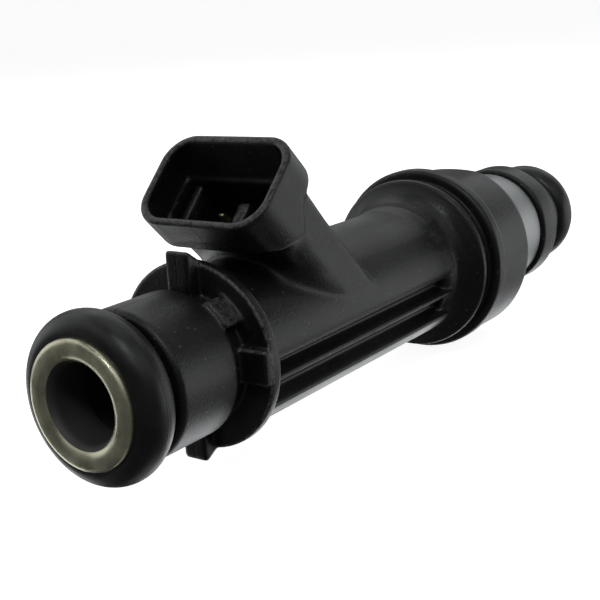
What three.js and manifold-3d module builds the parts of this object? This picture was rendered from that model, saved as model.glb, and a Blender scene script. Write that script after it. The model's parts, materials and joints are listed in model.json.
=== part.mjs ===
// Top-feed fuel injector with an angled two-pin connector.
// Frame: millimetres. The injector's axis is X, with the fuel inlet lip on the plane x = 0 and the
// nozzle towards +X. The connector leans up and back towards the inlet, and the part is the same on
// both sides of the plane y = 0.
import * as THREE from 'three';
import { mergeVertices } from 'three/addons/utils/BufferGeometryUtils.js';
import Module from 'manifold-3d';

const wasm = await Module();
wasm.setup();

// ---- driving dimensions -------------------------------------------------------------------------

const SEGMENTS = 36; // facets round the axis, the same on every turned piece
const RUNNING_GAP = 0.1; // between concentric turned pieces
const SEAT_GAP = 0.3; // between pieces that meet end to end

const LIP_RADIUS = 5.5;
const LIP_THICKNESS = 0.85;
const TUBE_RADIUS = 4.1;
const TUBE_BORE = 3.6;
const TUBE_END = 26;

const SEAL_RADIUS = 7.33; // outside of the inlet O-ring
const SEAL_CENTRE = 2.45;
const SEAL_HALF_WIDTH = 1.55;

const FILTER_START = 10.5;

const NECK_START = 4.95;
const NECK_RADIUS = 6.57;
const NECK_END = 12.05;
const NECK_GROOVE_RADIUS = 5.7;
const FLANGE_FRONT = 14.15;
const FLANGE_BACK = 15.35;
const FLANGE_RADIUS = 8.5;

const BODY_RADIUS = 7.05; // under the connector
const WAIST_START = 20; // from here the body narrows a little towards the coil cover
const WAIST_RADIUS = 6.75;
const CONE_START = 48.3;
const CONE_END = 51.3;
const CONE_RADIUS = 9.5;
const BODY_END = 52.2;

const CONNECTOR_TILT = Math.PI / 4; // from upright, towards the inlet
const MOUTH_X = 18.35;
const MOUTH_Z = 14.87;
const MOUTH_HALF_WIDTH = 7.13; // along Y
const MOUTH_HALF_HEIGHT = 4.91; // across the connector, in the plane of symmetry
const MOUTH_CORNER = 3.04;
const SHELL_WALL = 0.8;
const SHELL_DEPTH = 4.1; // of the wide mouth block
const SOCKET_STEP = 3.3; // depth at which the socket narrows
const SOCKET_DEPTH = 8.5;
const KEY_DEPTH = 5; // depth of the tops of the key bars
const STEM_HALF_WIDTH = 6.7;
const STEM_HALF_HEIGHT = 2.75;
const STEM_CORNER = 2.5;
const STEM_LENGTH = 21;

const TERMINAL_PITCH = 5.2;
const TERMINAL_WIDTH = 0.8;
const TERMINAL_THICKNESS = 0.64;
const TERMINAL_TIP_DEPTH = 5.6;
const TERMINAL_RUN_Z = 5;
const TERMINAL_END = 52;
const TERMINAL_CLEARANCE = 0.12;

const COVER_START = 52.5;
const COVER_RIM_START = 53.4;
const COVER_RIM_END = 55.2;
const COVER_RIM_RADIUS = 10.3;
const COVER_RADIUS = 9.4;
const COVER_BORE = 8.5;
const COVER_END = 63.6;
const COVER_FLAT_Z = 8.55;
const COVER_BULGE_RADIUS = 9.3;
const COVER_BULGE_DROP = 0.9;
const COVER_WALL_START = 61.6;

const VALVE_BODY_START = 61.9;
const VALVE_BODY_RADIUS = 7.0;
const VALVE_BODY_SHOULDER = 72.1;
const VALVE_NECK_RADIUS = 3.9;
const VALVE_BODY_END = 85.3;
const ARMATURE_CHAMBER = 4.25;
const SEAT_POCKET_RADIUS = 3.05;
const SEAT_POCKET_START = 79.5;

const SLEEVE_START = 72.4;
const SLEEVE_RIM_RADIUS = 7.48;
const SLEEVE_RIM_END = 76.3;
const SLEEVE_RADIUS = 5.7;
const SLEEVE_END = 80.9;

const LOWER_SEAL_RADIUS = 6.42;
const LOWER_SEAL_CENTRE = 83.05;
const LOWER_SEAL_HALF_WIDTH = 1.75;

const CAP_START = 85.5;
const CAP_END = 87;
const CAP_RADIUS = 4.7;
const CAP_BORE = 2.4;

const POLE_END = 57.5;
const POLE_BORE = 2.0;
const ARMATURE_START = 57.8; // its rest place: the working gap plus its lift stays open
const ARMATURE_END = 65.4;
const ARMATURE_RADIUS = 4.0;
const SPRING_START = 48.2;
const SPRING_END = 59.6;
const SPRING_RADIUS = 1.45;
const SPRING_WIRE = 0.24;
const SPRING_TURNS = 8;
const STEM_RADIUS = 1.2;
const VALVE_STEM_START = 61;
const VALVE_STEM_END = 80.1;
const BALL_RADIUS = 1.6;
const BALL_CENTRE = 81.66;

// ---- materials ----------------------------------------------------------------------------------

const finish = (color, roughness, metalness) =>
  new THREE.MeshStandardMaterial({ color, roughness, metalness });

const blackNylon = finish(0x1c1d1e, 0.5, 0);
const blackRubber = finish(0x121313, 0.75, 0);
const zincSteel = finish(0xb5ab86, 0.32, 1);
const greySteel = finish(0xc3c7c6, 0.35, 1);
const magneticSteel = finish(0x8d9092, 0.4, 1);
const goldPlate = finish(0xd9c26a, 0.3, 1);
const copperWire = finish(0xb5652f, 0.35, 1);
const filterBrass = finish(0xc2a150, 0.4, 1);
const filterNylon = finish(0xe6e2d2, 0.6, 0);

// ---- geometry helpers ---------------------------------------------------------------------------

// A closed outline of [x, radius] points turned about the X axis.
function turned(outline) {
  let area = 0;
  outline.forEach(([x, r], i) => {
    const [nextX, nextR] = outline[(i + 1) % outline.length];
    area += r * nextX - nextR * x;
  });
  const ordered = area > 0 ? outline : [...outline].reverse();
  const points = [...ordered, ordered[0]].map(([x, r]) => new THREE.Vector2(r, x));
  return new THREE.LatheGeometry(points, SEGMENTS).rotateZ(-Math.PI / 2);
}

// A plain ring with an outside radius, a bore, and a start and end along X.
const ring = (start, end, radius, bore) =>
  turned([[start, bore], [start, radius], [end, radius], [end, bore]]);

// A solid round plug, or a tapered one, between a start and an end along X.
function plug(start, end, startRadius, endRadius = startRadius) {
  return new THREE.CylinderGeometry(endRadius, startRadius, end - start, SEGMENTS)
    .rotateZ(-Math.PI / 2).translate((start + end) / 2, 0, 0);
}

// Points of an arc in [x, radius] coordinates, angles in degrees from +X towards larger radius.
function arc(x, r, halfWidth, halfHeight, from, to, steps) {
  return Array.from({ length: steps + 1 }, (_, i) => {
    const angle = THREE.MathUtils.degToRad(from + ((to - from) * i) / steps);
    return [x + halfWidth * Math.cos(angle), r + halfHeight * Math.sin(angle)];
  });
}

// An O-ring squeezed on its seat: an oval section between an inner and an outer radius.
function seal(centre, halfWidth, innerRadius, outerRadius) {
  const middle = (innerRadius + outerRadius) / 2;
  const section = arc(centre, middle, halfWidth, outerRadius - middle, 0, 360, 10);
  return turned(section.slice(0, -1));
}

// Part of a ring, between two angles in degrees from +Z towards +Y.
function sector(start, end, radius, bore, from, to) {
  const steps = Math.max(2, Math.ceil(Math.abs(to - from) / (360 / SEGMENTS)));
  const angles = Array.from({ length: steps + 1 }, (_, i) =>
    THREE.MathUtils.degToRad(from + ((to - from) * i) / steps));
  const at = (r) => (angle) => new THREE.Vector2(r * Math.sin(angle), r * Math.cos(angle));
  const shape = new THREE.Shape([...angles.map(at(radius)), ...[...angles].reverse().map(at(bore))]);
  return alongX(extruded(shape, end - start), start);
}

const extruded = (shape, depth) =>
  new THREE.ExtrudeGeometry(shape, { depth, bevelEnabled: false, curveSegments: 5 });

// Moves a shape drawn in Y and Z, and extruded, to stand along X from a start.
function alongX(geometry, start) {
  const basis = new THREE.Matrix4().makeBasis(
    new THREE.Vector3(0, 1, 0), new THREE.Vector3(0, 0, 1), new THREE.Vector3(1, 0, 0));
  return geometry.applyMatrix4(basis).translate(start, 0, 0);
}

// A closed outline of [x, z] points in the plane of symmetry, given a width across Y.
function plate(outline, width, y = 0) {
  const shape = new THREE.Shape(outline.map(([x, z]) => new THREE.Vector2(x, z)));
  return extruded(shape, width).rotateX(Math.PI / 2).translate(0, y + width / 2, 0);
}

function roundedRectangle(halfWidth, halfHeight, corner) {
  const shape = new THREE.Shape();
  const high = halfHeight - corner;
  const low = -high;
  const side = halfWidth - corner;
  shape.absarc(side, low, corner, -Math.PI / 2, 0, false);
  shape.absarc(side, high, corner, 0, Math.PI / 2, false);
  shape.absarc(-side, high, corner, Math.PI / 2, Math.PI, false);
  shape.absarc(-side, low, corner, Math.PI, 1.5 * Math.PI, false);
  return shape;
}

// The connector's own directions: along its axis into the body, and across it.
const inward = new THREE.Vector3(Math.sin(CONNECTOR_TILT), 0, -Math.cos(CONNECTOR_TILT));
const across = new THREE.Vector3(Math.cos(CONNECTOR_TILT), 0, Math.sin(CONNECTOR_TILT));

// Moves a shape drawn in the mouth's plane, and extruded, to run inward from a depth.
function intoConnector(shape, depth, length) {
  const sideways = new THREE.Vector3().crossVectors(across, inward);
  const basis = new THREE.Matrix4().makeBasis(sideways, across, inward);
  const origin = new THREE.Vector3(MOUTH_X, 0, MOUTH_Z).addScaledVector(inward, depth);
  return extruded(shape, length).applyMatrix4(basis).translate(origin.x, origin.y, origin.z);
}

function solid(geometry) {
  const bare = geometry.clone();
  bare.deleteAttribute('normal');
  bare.deleteAttribute('uv');
  const merged = mergeVertices(bare, 1e-4);
  const vertProperties = new Float32Array(merged.attributes.position.array);
  const triVerts = new Uint32Array(merged.index.array);
  return new wasm.Manifold(new wasm.Mesh({ numProp: 3, vertProperties, triVerts }));
}

function geometryOf(body) {
  const { vertProperties, triVerts } = body.getMesh();
  const geometry = new THREE.BufferGeometry();
  geometry.setAttribute('position', new THREE.BufferAttribute(new Float32Array(vertProperties), 3));
  geometry.setIndex(new THREE.BufferAttribute(new Uint32Array(triVerts), 1));
  geometry.computeVertexNormals();
  return geometry;
}

const joined = (geometries) => geometries.map(solid).reduce((sum, body) => sum.add(body));
const cut = (body, geometries) => geometries.map(solid).reduce((rest, tool) => rest.subtract(tool), body);

const injector = new THREE.Group();

function add(name, geometry, material) {
  const mesh = new THREE.Mesh(geometry, material);
  mesh.name = name;
  injector.add(mesh);
  return mesh;
}

// ---- moulded body -------------------------------------------------------------------------------

const bodyBore = TUBE_RADIUS + RUNNING_GAP;

function bodyCore() {
  return turned([
    [NECK_START, bodyBore],
    [NECK_START, NECK_RADIUS - 0.3],
    [NECK_START + 0.3, NECK_RADIUS],
    [NECK_END, NECK_RADIUS],
    [NECK_END, NECK_GROOVE_RADIUS],
    [FLANGE_FRONT, NECK_GROOVE_RADIUS],
    [FLANGE_FRONT, FLANGE_RADIUS - 0.2],
    [FLANGE_FRONT + 0.2, FLANGE_RADIUS],
    [FLANGE_BACK - 0.2, FLANGE_RADIUS],
    [FLANGE_BACK, FLANGE_RADIUS - 0.2],
    [FLANGE_BACK, BODY_RADIUS],
    [WAIST_START, BODY_RADIUS],
    [CONE_START, WAIST_RADIUS],
    [CONE_END, CONE_RADIUS - 0.1],
    [CONE_END + 0.3, CONE_RADIUS],
    [BODY_END, CONE_RADIUS],
    [BODY_END, bodyBore],
  ]);
}

// Locating tabs above and below the flange, on the plane of symmetry.
function flangeTabs() {
  const width = 2.25;
  const root = NECK_GROOVE_RADIUS - 0.5;
  const top = [[12.75, root], [12.75, 9.35], [13, 9.62], [14.4, 8.6], [15.3, 8.3], [15.3, root]];
  const bottom = [[13, -root], [13, -9.1], [13.25, -9.4], [14.7, -8.6], [15.3, -8.3], [15.3, -root]];
  return [plate(top, width), plate(bottom, width)];
}

// On each side of the flange's front face, a curved step behind the neck and a flat bar below it.
function flangePads() {
  const back = FLANGE_FRONT + 0.5;
  const bar = [[13.35, -1.4], [13.35, 1.6], [back, 1.6], [back, -1.4]];
  const pads = [];
  for (const side of [-1, 1]) {
    pads.push(sector(11.9, back, 7.2, NECK_GROOVE_RADIUS - 0.4, side * 31, side * 56));
    pads.push(plate(bar, 3, side * 6.8));
  }
  return pads;
}

// A broad keel under the body, with a narrow rib on each side of it.
function keel() {
  const end = CONE_START + 1;
  const root = WAIST_RADIUS - 1;
  const ribs = [sector(FLANGE_BACK - 0.3, end, 7.7, root, 127, 233)];
  for (const side of [-1, 1]) {
    ribs.push(sector(FLANGE_BACK - 0.3, end, 7.3, root, side * 104.5, side * 109.5));
  }
  return ribs;
}

// The grooves above and below each rib.
function keelGrooves() {
  const end = CONE_START - 0.3;
  return [-1, 1].flatMap((side) => [
    sector(FLANGE_BACK, end, 9, 6.3, side * 97, side * 104.5),
    sector(FLANGE_BACK, end, 9, 6, side * 109.5, side * 127),
  ]);
}

function connectorShell() {
  return [
    intoConnector(roundedRectangle(MOUTH_HALF_WIDTH, MOUTH_HALF_HEIGHT, MOUTH_CORNER), 0, SHELL_DEPTH),
    intoConnector(
      roundedRectangle(STEM_HALF_WIDTH + 0.25, STEM_HALF_HEIGHT + 0.6, STEM_CORNER + 0.3),
      SHELL_DEPTH - 0.5, 1.4),
    intoConnector(
      roundedRectangle(STEM_HALF_WIDTH, STEM_HALF_HEIGHT, STEM_CORNER),
      SHELL_DEPTH, STEM_LENGTH - SHELL_DEPTH),
  ];
}

// The socket is a wide mouth, then a narrower well down to its floor.
function socketHollow() {
  const wide = roundedRectangle(
    MOUTH_HALF_WIDTH - SHELL_WALL, MOUTH_HALF_HEIGHT - SHELL_WALL, MOUTH_CORNER - 0.6);
  const narrow = roundedRectangle(
    STEM_HALF_WIDTH - SHELL_WALL, STEM_HALF_HEIGHT - SHELL_WALL, STEM_CORNER - 0.6);
  return joined([
    intoConnector(wide, -1, SOCKET_STEP + 1),
    intoConnector(narrow, SOCKET_STEP - 0.5, SOCKET_DEPTH - SOCKET_STEP + 0.5),
  ]);
}

// Three key bars stand on the socket's floor beside and between the terminals.
function socketKeys() {
  const bar = (y, halfWidth, low, high) => {
    const shape = new THREE.Shape([
      new THREE.Vector2(y - halfWidth, low), new THREE.Vector2(y + halfWidth, low),
      new THREE.Vector2(y + halfWidth, high), new THREE.Vector2(y - halfWidth, high)]);
    return intoConnector(shape, KEY_DEPTH, SOCKET_DEPTH - KEY_DEPTH + 0.5);
  };
  return [bar(0, 0.65, -4, 1.1), bar(5.25, 0.5, -2.4, 2.4), bar(-5.25, 0.5, -2.4, 2.4)];
}

// A terminal's side outline: a straight blade down the connector, then a run along the body.
function terminalOutline(grow, tipDepth, end) {
  const half = TERMINAL_THICKNESS / 2 + grow;
  const bendX = MOUTH_X + MOUTH_Z - TERMINAL_RUN_Z;
  const bendShift = half * Math.tan(CONNECTOR_TILT / 2);
  const tip = new THREE.Vector3(MOUTH_X, 0, MOUTH_Z).addScaledVector(inward, tipDepth);
  const side = (sign) => [tip.x + sign * half * across.x, tip.z + sign * half * across.z];
  return [
    side(1),
    [bendX + bendShift, TERMINAL_RUN_Z + half],
    [end, TERMINAL_RUN_Z + half],
    [end, TERMINAL_RUN_Z - half],
    [bendX - bendShift, TERMINAL_RUN_Z - half],
    side(-1),
  ];
}

function terminal(y, grow = 0, tipDepth = TERMINAL_TIP_DEPTH, end = TERMINAL_END) {
  return plate(terminalOutline(grow, tipDepth, end), TERMINAL_WIDTH + 2 * grow, y);
}

function mouldedBody() {
  const core = cut(solid(bodyCore()), keelGrooves());
  const outside = core.add(
    joined([...flangeTabs(), ...flangePads(), ...keel(), ...connectorShell()]));
  const keys = joined(socketKeys());
  const hollow = socketHollow().subtract(keys);
  const bore = plug(NECK_START - 1, BODY_END + 1, bodyBore);
  const channels = [-1, 1].map((side) =>
    terminal((side * TERMINAL_PITCH) / 2, TERMINAL_CLEARANCE, TERMINAL_TIP_DEPTH - 0.5, BODY_END + 1));
  return cut(outside.subtract(hollow), [bore, ...channels]);
}

add('moulded_body', geometryOf(mouldedBody()), blackNylon);

for (const [name, side] of [['terminal_left', 1], ['terminal_right', -1]]) {
  add(name, terminal((side * TERMINAL_PITCH) / 2), goldPlate);
}

// ---- fuel inlet ---------------------------------------------------------------------------------

// The tube's mouth is rolled out into a flat lip with a rounded throat.
add('inlet_tube', turned([
  [0, 4.45],
  [0, LIP_RADIUS - 0.3],
  [0.3, LIP_RADIUS],
  [LIP_THICKNESS, LIP_RADIUS],
  [LIP_THICKNESS, TUBE_RADIUS],
  [TUBE_END, TUBE_RADIUS],
  [TUBE_END, TUBE_BORE],
  [1.3, TUBE_BORE],
  [0.6, 3.8],
  [0.15, 4.15],
]), zincSteel);

add('inlet_seal', seal(SEAL_CENTRE, SEAL_HALF_WIDTH, TUBE_RADIUS + RUNNING_GAP, SEAL_RADIUS), blackRubber);

add('filter_collar', ring(FILTER_START, FILTER_START + 2.4, TUBE_BORE - RUNNING_GAP, 2.9), filterBrass);

const basketEnd = FILTER_START + 10.6;
add('filter_basket', turned([
  [FILTER_START, 2.3],
  [FILTER_START, 2.8],
  [basketEnd - 0.8, 2.5],
  [basketEnd, 1.8],
  [basketEnd, 0],
  [basketEnd - 0.5, 0],
  [basketEnd - 0.5, 1.5],
  [basketEnd - 1.1, 2.1],
]), filterNylon);

// ---- magnetic circuit ---------------------------------------------------------------------------

add('pole_piece', ring(TUBE_END + RUNNING_GAP, POLE_END, TUBE_RADIUS, POLE_BORE), magneticSteel);

add('preload_tube', ring(40, SPRING_START - SEAT_GAP, POLE_BORE - RUNNING_GAP, 1.1), greySteel);

// A cylindrical helix, with its wire's centre line worked out from the number of turns.
class Helix extends THREE.Curve {
  getPoint(t, target = new THREE.Vector3()) {
    const angle = t * SPRING_TURNS * 2 * Math.PI;
    const start = SPRING_START + SPRING_WIRE;
    const x = start + t * (SPRING_END - SPRING_WIRE - start);
    return target.set(x, SPRING_RADIUS * Math.sin(angle), SPRING_RADIUS * Math.cos(angle));
  }
}

function springGeometry() {
  const wire = new THREE.Shape();
  wire.absarc(0, 0, SPRING_WIRE, 0, 2 * Math.PI, false);
  const steps = SPRING_TURNS * 11;
  return new THREE.ExtrudeGeometry(wire, {
    steps, extrudePath: new Helix(), bevelEnabled: false, curveSegments: 3 });
}

add('return_spring', springGeometry(), greySteel);

// The spring sits in the front pocket, and the valve stem is pressed into the back.
const stemBore = STEM_RADIUS + RUNNING_GAP;
add('armature', turned([
  [ARMATURE_START, POLE_BORE],
  [ARMATURE_START, ARMATURE_RADIUS],
  [ARMATURE_END, ARMATURE_RADIUS],
  [ARMATURE_END, stemBore],
  [SPRING_END + 0.2, stemBore],
  [SPRING_END + 0.2, POLE_BORE],
]), magneticSteel);

add('valve_stem', ring(VALVE_STEM_START, VALVE_STEM_END, STEM_RADIUS, 0.6), greySteel);

add('valve_ball', new THREE.SphereGeometry(BALL_RADIUS, 20, 12)
  .rotateZ(-Math.PI / 2).translate(BALL_CENTRE, 0, 0), greySteel);

add('gap_sleeve', ring(54, 61, ARMATURE_CHAMBER + 0.5, ARMATURE_CHAMBER), greySteel);

const coilCore = ARMATURE_CHAMBER + 0.6;
const leadHoleRadius = 0.5;
const leadRadius = 0.2;
const leadY = TERMINAL_PITCH / 2;
const leadZ = 5.6;
const leadStart = TERMINAL_END + SEAT_GAP;
const windingStart = 54;
const windingEnd = 60.2;

const rod = (start, end, radius, y, z) =>
  new THREE.CylinderGeometry(radius, radius, end - start, 10)
    .rotateZ(-Math.PI / 2).translate((start + end) / 2, y, z);

function coilBobbin() {
  const spool = solid(turned([
    [COVER_START + 0.3, coilCore],
    [COVER_START + 0.3, COVER_BORE - 0.15],
    [windingStart - RUNNING_GAP, COVER_BORE - 0.15],
    [windingStart - RUNNING_GAP, coilCore + 0.6],
    [windingEnd + RUNNING_GAP, coilCore + 0.6],
    [windingEnd + RUNNING_GAP, COVER_BORE - 0.15],
    [windingEnd + 0.6, COVER_BORE - 0.15],
    [windingEnd + 0.6, coilCore],
  ]));
  const holes = [-1, 1].map((side) =>
    rod(COVER_START, windingStart, leadHoleRadius, side * leadY, leadZ));
  return cut(spool, holes);
}

add('coil_bobbin', geometryOf(coilBobbin()), filterNylon);
add('coil_winding', ring(windingStart, windingEnd, 8, coilCore + 0.7), copperWire);

for (const [name, side] of [['coil_lead_left', 1], ['coil_lead_right', -1]]) {
  add(name, rod(leadStart, windingStart - RUNNING_GAP, leadRadius, side * leadY, leadZ), copperWire);
}

add('flux_washer', ring(windingEnd + 0.7, COVER_WALL_START - RUNNING_GAP, COVER_BORE - 0.15, coilCore),
  magneticSteel);

// ---- coil cover ---------------------------------------------------------------------------------

// A cup with a rim round its front, a flat on top and a bulge underneath.
function coilCover() {
  const cup = solid(turned([
    [COVER_START, COVER_BORE],
    [COVER_START, 9.05],
    [COVER_RIM_START, 9.05],
    [COVER_RIM_START, COVER_RIM_RADIUS - 0.25],
    [COVER_RIM_START + 0.25, COVER_RIM_RADIUS],
    [COVER_RIM_END, COVER_RIM_RADIUS],
    [COVER_RIM_END, COVER_RADIUS],
    [COVER_END - 0.5, COVER_RADIUS],
    [COVER_END, COVER_RADIUS - 0.5],
    [COVER_END, VALVE_BODY_RADIUS + RUNNING_GAP],
    [COVER_WALL_START, VALVE_BODY_RADIUS + RUNNING_GAP],
    [COVER_WALL_START, COVER_BORE],
  ]));
  const flat = plate(
    [[COVER_RIM_END, COVER_FLAT_Z], [COVER_END + 1, COVER_FLAT_Z], [COVER_END + 1, 12],
      [COVER_RIM_END, 12]], 24);
  const bulgeTaper = COVER_END - 1;
  const bulge = joined([
    plug(COVER_RIM_END - 0.5, bulgeTaper, COVER_BULGE_RADIUS),
    plug(bulgeTaper, COVER_END, COVER_BULGE_RADIUS, COVER_BULGE_RADIUS - 1.2),
  ]).translate(0, 0, -COVER_BULGE_DROP);
  const inside = [
    plug(COVER_START, COVER_WALL_START, COVER_BORE),
    plug(COVER_START, COVER_END + 1, VALVE_BODY_RADIUS + RUNNING_GAP),
  ];
  return cup.subtract(solid(flat)).add(cut(bulge, inside));
}

add('coil_cover', geometryOf(coilCover()), blackNylon);

// ---- valve end ----------------------------------------------------------------------------------

add('valve_body', turned([
  [VALVE_BODY_START, ARMATURE_CHAMBER],
  [VALVE_BODY_START, VALVE_BODY_RADIUS],
  [VALVE_BODY_SHOULDER - 0.2, VALVE_BODY_RADIUS],
  [VALVE_BODY_SHOULDER, VALVE_BODY_RADIUS - 0.2],
  [VALVE_BODY_SHOULDER, VALVE_NECK_RADIUS],
  [VALVE_BODY_END, VALVE_NECK_RADIUS],
  [VALVE_BODY_END, SEAT_POCKET_RADIUS],
  [SEAT_POCKET_START, SEAT_POCKET_RADIUS],
  [SEAT_POCKET_START, 1.9],
  [ARMATURE_END + 0.8, 1.9],
  [ARMATURE_END + 0.8, ARMATURE_CHAMBER],
]), greySteel);

const seatRadius = SEAT_POCKET_RADIUS - RUNNING_GAP;
add('stem_guide', ring(79.6, 80.1, seatRadius, STEM_RADIUS + 0.15), greySteel);

// The seat's cone opens towards the ball and narrows to one hole.
add('valve_seat', turned([
  [80.2, seatRadius],
  [84.2, seatRadius],
  [84.2, 0.6],
  [83.5, 0.6],
  [82.1, 1.85],
  [80.2, 1.85],
]), magneticSteel);

function orificePlate() {
  const disc = solid(plug(84.3, 84.6, seatRadius));
  const holes = Array.from({ length: 4 }, (_, i) => {
    const angle = ((2 * i + 1) * Math.PI) / 4;
    return rod(84, 85, 0.16, 0.8 * Math.sin(angle), 0.8 * Math.cos(angle));
  });
  return cut(disc, holes);
}

add('orifice_plate', geometryOf(orificePlate()), greySteel);
add('plate_ring', ring(84.7, VALVE_BODY_END, seatRadius, 1.9), greySteel);

add('seal_sleeve', turned([
  [SLEEVE_START, VALVE_NECK_RADIUS + RUNNING_GAP],
  [SLEEVE_START, SLEEVE_RIM_RADIUS - 0.4],
  [SLEEVE_START + 0.4, SLEEVE_RIM_RADIUS],
  [SLEEVE_RIM_END - 0.4, SLEEVE_RIM_RADIUS],
  [SLEEVE_RIM_END, SLEEVE_RIM_RADIUS - 0.4],
  [SLEEVE_RIM_END, SLEEVE_RADIUS],
  [SLEEVE_END, SLEEVE_RADIUS],
  [SLEEVE_END, VALVE_NECK_RADIUS + RUNNING_GAP],
]), blackNylon);

add('nozzle_seal',
  seal(LOWER_SEAL_CENTRE, LOWER_SEAL_HALF_WIDTH, VALVE_NECK_RADIUS + RUNNING_GAP, LOWER_SEAL_RADIUS),
  blackRubber);

add('nozzle_cap', turned([
  [CAP_START, CAP_BORE],
  [CAP_START, CAP_RADIUS],
  [CAP_END - 0.5, CAP_RADIUS],
  [CAP_END, CAP_RADIUS - 0.5],
  [CAP_END, CAP_BORE],
]), blackNylon);

export default injector;
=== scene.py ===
"""A top-feed fuel injector on a pale floor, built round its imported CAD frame.

Lengths in this file are millimetres, in the CAD model's own frame: X is the injector's axis, with
the inlet lip at x = 0 and the nozzle towards +X, and the connector stands on the +Z side.
"""
import json
import math

import bmesh
import bpy
import numpy as np
import openvdb
from mathutils import Matrix, Vector


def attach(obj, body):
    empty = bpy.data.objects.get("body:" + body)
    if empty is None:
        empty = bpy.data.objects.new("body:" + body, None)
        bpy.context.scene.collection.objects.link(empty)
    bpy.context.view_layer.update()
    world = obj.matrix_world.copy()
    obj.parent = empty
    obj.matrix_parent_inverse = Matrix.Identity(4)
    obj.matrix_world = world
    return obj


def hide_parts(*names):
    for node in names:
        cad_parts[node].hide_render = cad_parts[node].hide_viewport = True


MM = 0.001

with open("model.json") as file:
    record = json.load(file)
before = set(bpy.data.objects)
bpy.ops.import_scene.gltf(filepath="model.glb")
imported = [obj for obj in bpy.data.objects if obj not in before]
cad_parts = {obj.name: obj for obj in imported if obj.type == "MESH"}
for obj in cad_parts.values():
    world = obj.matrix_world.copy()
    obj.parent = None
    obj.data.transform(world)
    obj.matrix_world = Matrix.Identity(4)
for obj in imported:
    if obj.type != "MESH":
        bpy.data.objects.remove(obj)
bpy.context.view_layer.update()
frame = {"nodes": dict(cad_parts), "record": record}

# ---- dimensions ----------------------------------------------------------------------------------

LATHE_STEPS = 192
GRID_STEP = 0.15  # of the sampled distance fields

LIP_RADIUS = 5.5
TUBE_RADIUS = 4.1
TUBE_BORE = 3.7
TUBE_MOUTH_BORE = 3.4
TUBE_END = 26.0

INLET_SEAL_X = 2.38
INLET_SEAL_RADIUS = 7.34
INLET_SEAL_HALF_WIDTH = 1.85
NOZZLE_SEAL_X = 82.95
NOZZLE_SEAL_RADIUS = 6.42
NOZZLE_SEAL_HALF_WIDTH = 1.9

NECK_START = 4.95
NECK_RADIUS = 6.57
NECK_END = 12.05
GROOVE_RADIUS = 5.7
FLANGE_FRONT = 14.15
FLANGE_BACK = 15.35
FLANGE_RADIUS = 8.5
BODY_RADIUS = 7.05
WAIST_START = 20.0
WAIST_RADIUS = 6.75
CONE_START = 48.3
CONE_END = 51.3
CONE_RADIUS = 9.5
BODY_END = 52.2
BODY_BORE = 4.2
TAB_HALF_WIDTH = 1.27
STRIP_START = 32.0
STRIP_EDGE = 50  # degrees from +Z, where the raised strip along the barrel ends
STRIP_RISE = 0.08

# under the barrel, with the edges in degrees from +Z
SIDE_GROOVE_FLOOR = 5.3
SIDE_GROOVE_EDGES = (97, 105)
LOW_GROOVE_FLOOR = 5.9
LOW_GROOVE_EDGES = (109, 127.5)
RIB_RADIUS = 7.2
RIB_EDGES = (105, 108.8)
KEEL_RADIUS = 7.72
KEEL_EDGES = (127, 181)
BARREL_CORE = 5.0  # a radius well inside the barrel
BARREL_CLEAR = 9.0  # a radius well outside it

# on the flange's front face
STEP_START = 11.9
STEP_RADIUS = 7.0
STEP_EDGES = (31, 56)
BAR_START = 13.35
BAR_TOP = 1.6
BAR_BOTTOM = -1.4
BAR_HALF_WIDTH = 8.36

TILT = math.pi / 4
MOUTH = (18.35, 0.0, 14.87)
MOUTH_PLANE = MOUTH[0] - MOUTH[2]  # x - z on the mouth's face
MOUTH_HALF = (7.13, 4.91)
MOUTH_CORNER = 3.04
SHELL_WALL = 0.8
SHELL_DEPTH = 4.1
STEM_HALF = (6.62, 3.4)
STEM_BACK = 2.4
STEM_CORNER = 2.4
STEM_BACK_CORNER = 0.9
STEM_LENGTH = 20.8
STEM_LOWEST_Z = 2.1
SOCKET_STEP = 3.3
SOCKET_SLOPE = 0.52  # of the mouth's back wall, across per depth
WELL_HALF = (6.1, 2.05)
SOCKET_DEPTH = 8.5
KEY_HALF_WIDTH = 0.65
KEY_BACK = 1.1
KEY_DEPTH = 5.0
SIDE_KEY_Y = 5.25
SIDE_KEY_HALF_WIDTH = 0.45
SIDE_KEY_DEPTH = 4.1

TERMINAL_Y = 2.6
TERMINAL_WIDTH = 0.8
TERMINAL_THICKNESS = 0.64
TERMINAL_TIP = 5.6
TERMINAL_RUN_Z = 5.0
TERMINAL_BEND_X = MOUTH[0] + MOUTH[2] - TERMINAL_RUN_Z
TERMINAL_END = 52.0
TERMINAL_GAP = 0.12  # round each terminal in its channel

COVER_START = 52.5
COVER_BACK_RADIUS = 9.05
RIM_START = 53.4
RIM_END = 55.2
RIM_RADIUS = 10.3
COVER_RADIUS = 9.4
COVER_END = 63.6
COVER_BORE = 8.5
COVER_WALL = 61.6
COVER_FLAT_Z = 9.2
BULGE_RADIUS = 9.35
BULGE_DROP = 0.9

VALVE_START = 61.9
VALVE_RADIUS = 7.0
VALVE_SHOULDER = 72.1
VALVE_NECK = 3.9
VALVE_END = 85.3
ARMATURE_BORE = 4.25
ARMATURE_BORE_END = 66.2
STEM_BORE = 1.9
SEAT_POCKET = 3.05
SEAT_POCKET_START = 79.5

SLEEVE_START = 72.4
SLEEVE_RADIUS = 7.48
SLEEVE_SHOULDER = 76.3
SLEEVE_NECK = 5.7
SLEEVE_END = 80.9

CAP_START = 85.5
CAP_END = 87.0
CAP_RADIUS = 4.7
CAP_BORE = 2.4

# ---- mesh helpers --------------------------------------------------------------------------------


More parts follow.
